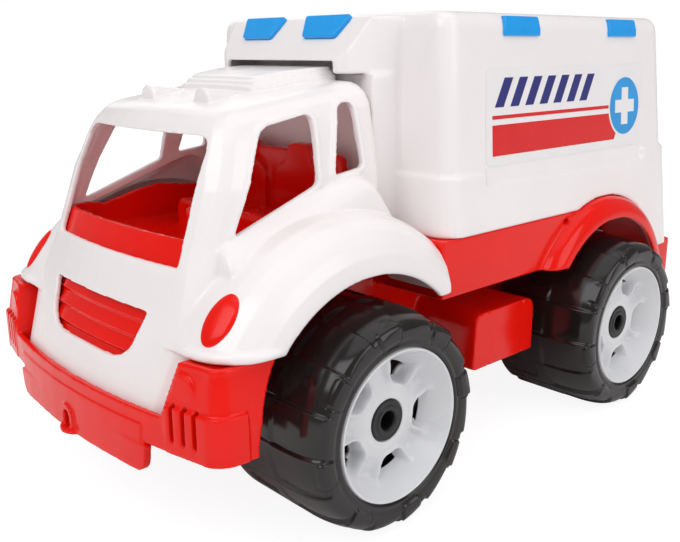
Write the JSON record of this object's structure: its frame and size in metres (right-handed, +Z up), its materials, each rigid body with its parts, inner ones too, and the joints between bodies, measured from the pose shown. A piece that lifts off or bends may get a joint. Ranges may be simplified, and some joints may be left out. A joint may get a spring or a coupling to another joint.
{
  "type": "toy ambulance",
  "caption": "Large moulded play ambulance: hollow open-window cab with seats, box body with a lifting tailgate, roof lamps, towing eye and big free-rolling wheels.",
  "frame": {"origin": "on the ground below the middle of the overall length and width", "axes": "+Z up, -Y towards the front of the vehicle, +X towards the vehicle's left side"},
  "size_m": [0.236, 0.388, 0.2229],
  "materials": {
    "red_moulding": "glossy injection-moulded polypropylene",
    "white_moulding": "glossy injection-moulded polypropylene",
    "rim_moulding": "satin injection-moulded polypropylene",
    "blue_moulding": "glossy injection-moulded polypropylene",
    "black_moulding": "satin moulded polyethylene",
    "tyre_moulding": "glossy blow-moulded polyethylene",
    "printed_label": "printed adhesive vinyl",
    "steel_wire": "plain drawn wire"
  },
  "bodies": {
    "vehicle": {"chassis": "red_moulding", "front_bumper": "red_moulding", "cab_shell": "white_moulding", "seat_tub": "red_moulding", "grille_insert": "red_moulding", "headlamp_left": "red_moulding", "headlamp_right": "red_moulding", "box_body": "white_moulding", "roof_fairing": "white_moulding", "beacon_left": "blue_moulding", "beacon_right": "blue_moulding", "side_label_left": "printed_label", "side_label_right": "printed_label", "door_pin": "steel_wire", "front_axle": "black_moulding", "rear_axle": "black_moulding", "chassis_screws": "steel_wire", "side_lamp_front_left": "blue_moulding", "cap_front_left": "black_moulding", "side_lamp_front_right": "blue_moulding", "cap_front_right": "black_moulding", "side_lamp_rear_left": "blue_moulding", "cap_rear_left": "black_moulding", "side_lamp_rear_right": "blue_moulding", "cap_rear_right": "black_moulding"},
    "rear_door": {"rear_door": "red_moulding"},
    "wheel_front_left": {"tyre_front_left": "tyre_moulding", "rim_front_left": "rim_moulding"},
    "wheel_front_right": {"tyre_front_right": "tyre_moulding", "rim_front_right": "rim_moulding"},
    "wheel_rear_left": {"tyre_rear_left": "tyre_moulding", "rim_rear_left": "rim_moulding"},
    "wheel_rear_right": {"tyre_rear_right": "tyre_moulding", "rim_rear_right": "rim_moulding"}
  },
  "joints": [
    {"name": "wheel_front_left_spin", "type": "hinge", "parent": "vehicle", "child": "wheel_front_left", "pos_m": [0.087, -0.097, 0.05], "axis": [1, 0, 0], "continuous": true},
    {"name": "wheel_front_right_spin", "type": "hinge", "parent": "vehicle", "child": "wheel_front_right", "pos_m": [-0.087, -0.097, 0.05], "axis": [1, 0, 0], "continuous": true},
    {"name": "wheel_rear_left_spin", "type": "hinge", "parent": "vehicle", "child": "wheel_rear_left", "pos_m": [0.087, 0.097, 0.05], "axis": [1, 0, 0], "continuous": true},
    {"name": "wheel_rear_right_spin", "type": "hinge", "parent": "vehicle", "child": "wheel_rear_right", "pos_m": [-0.087, 0.097, 0.05], "axis": [1, 0, 0], "continuous": true},
    {"name": "rear_door_hinge", "type": "hinge", "parent": "vehicle", "child": "rear_door", "pos_m": [0, 0.1674, 0.2185], "axis": [1, 0, 0], "range_deg": [0, 100]}
  ]
}
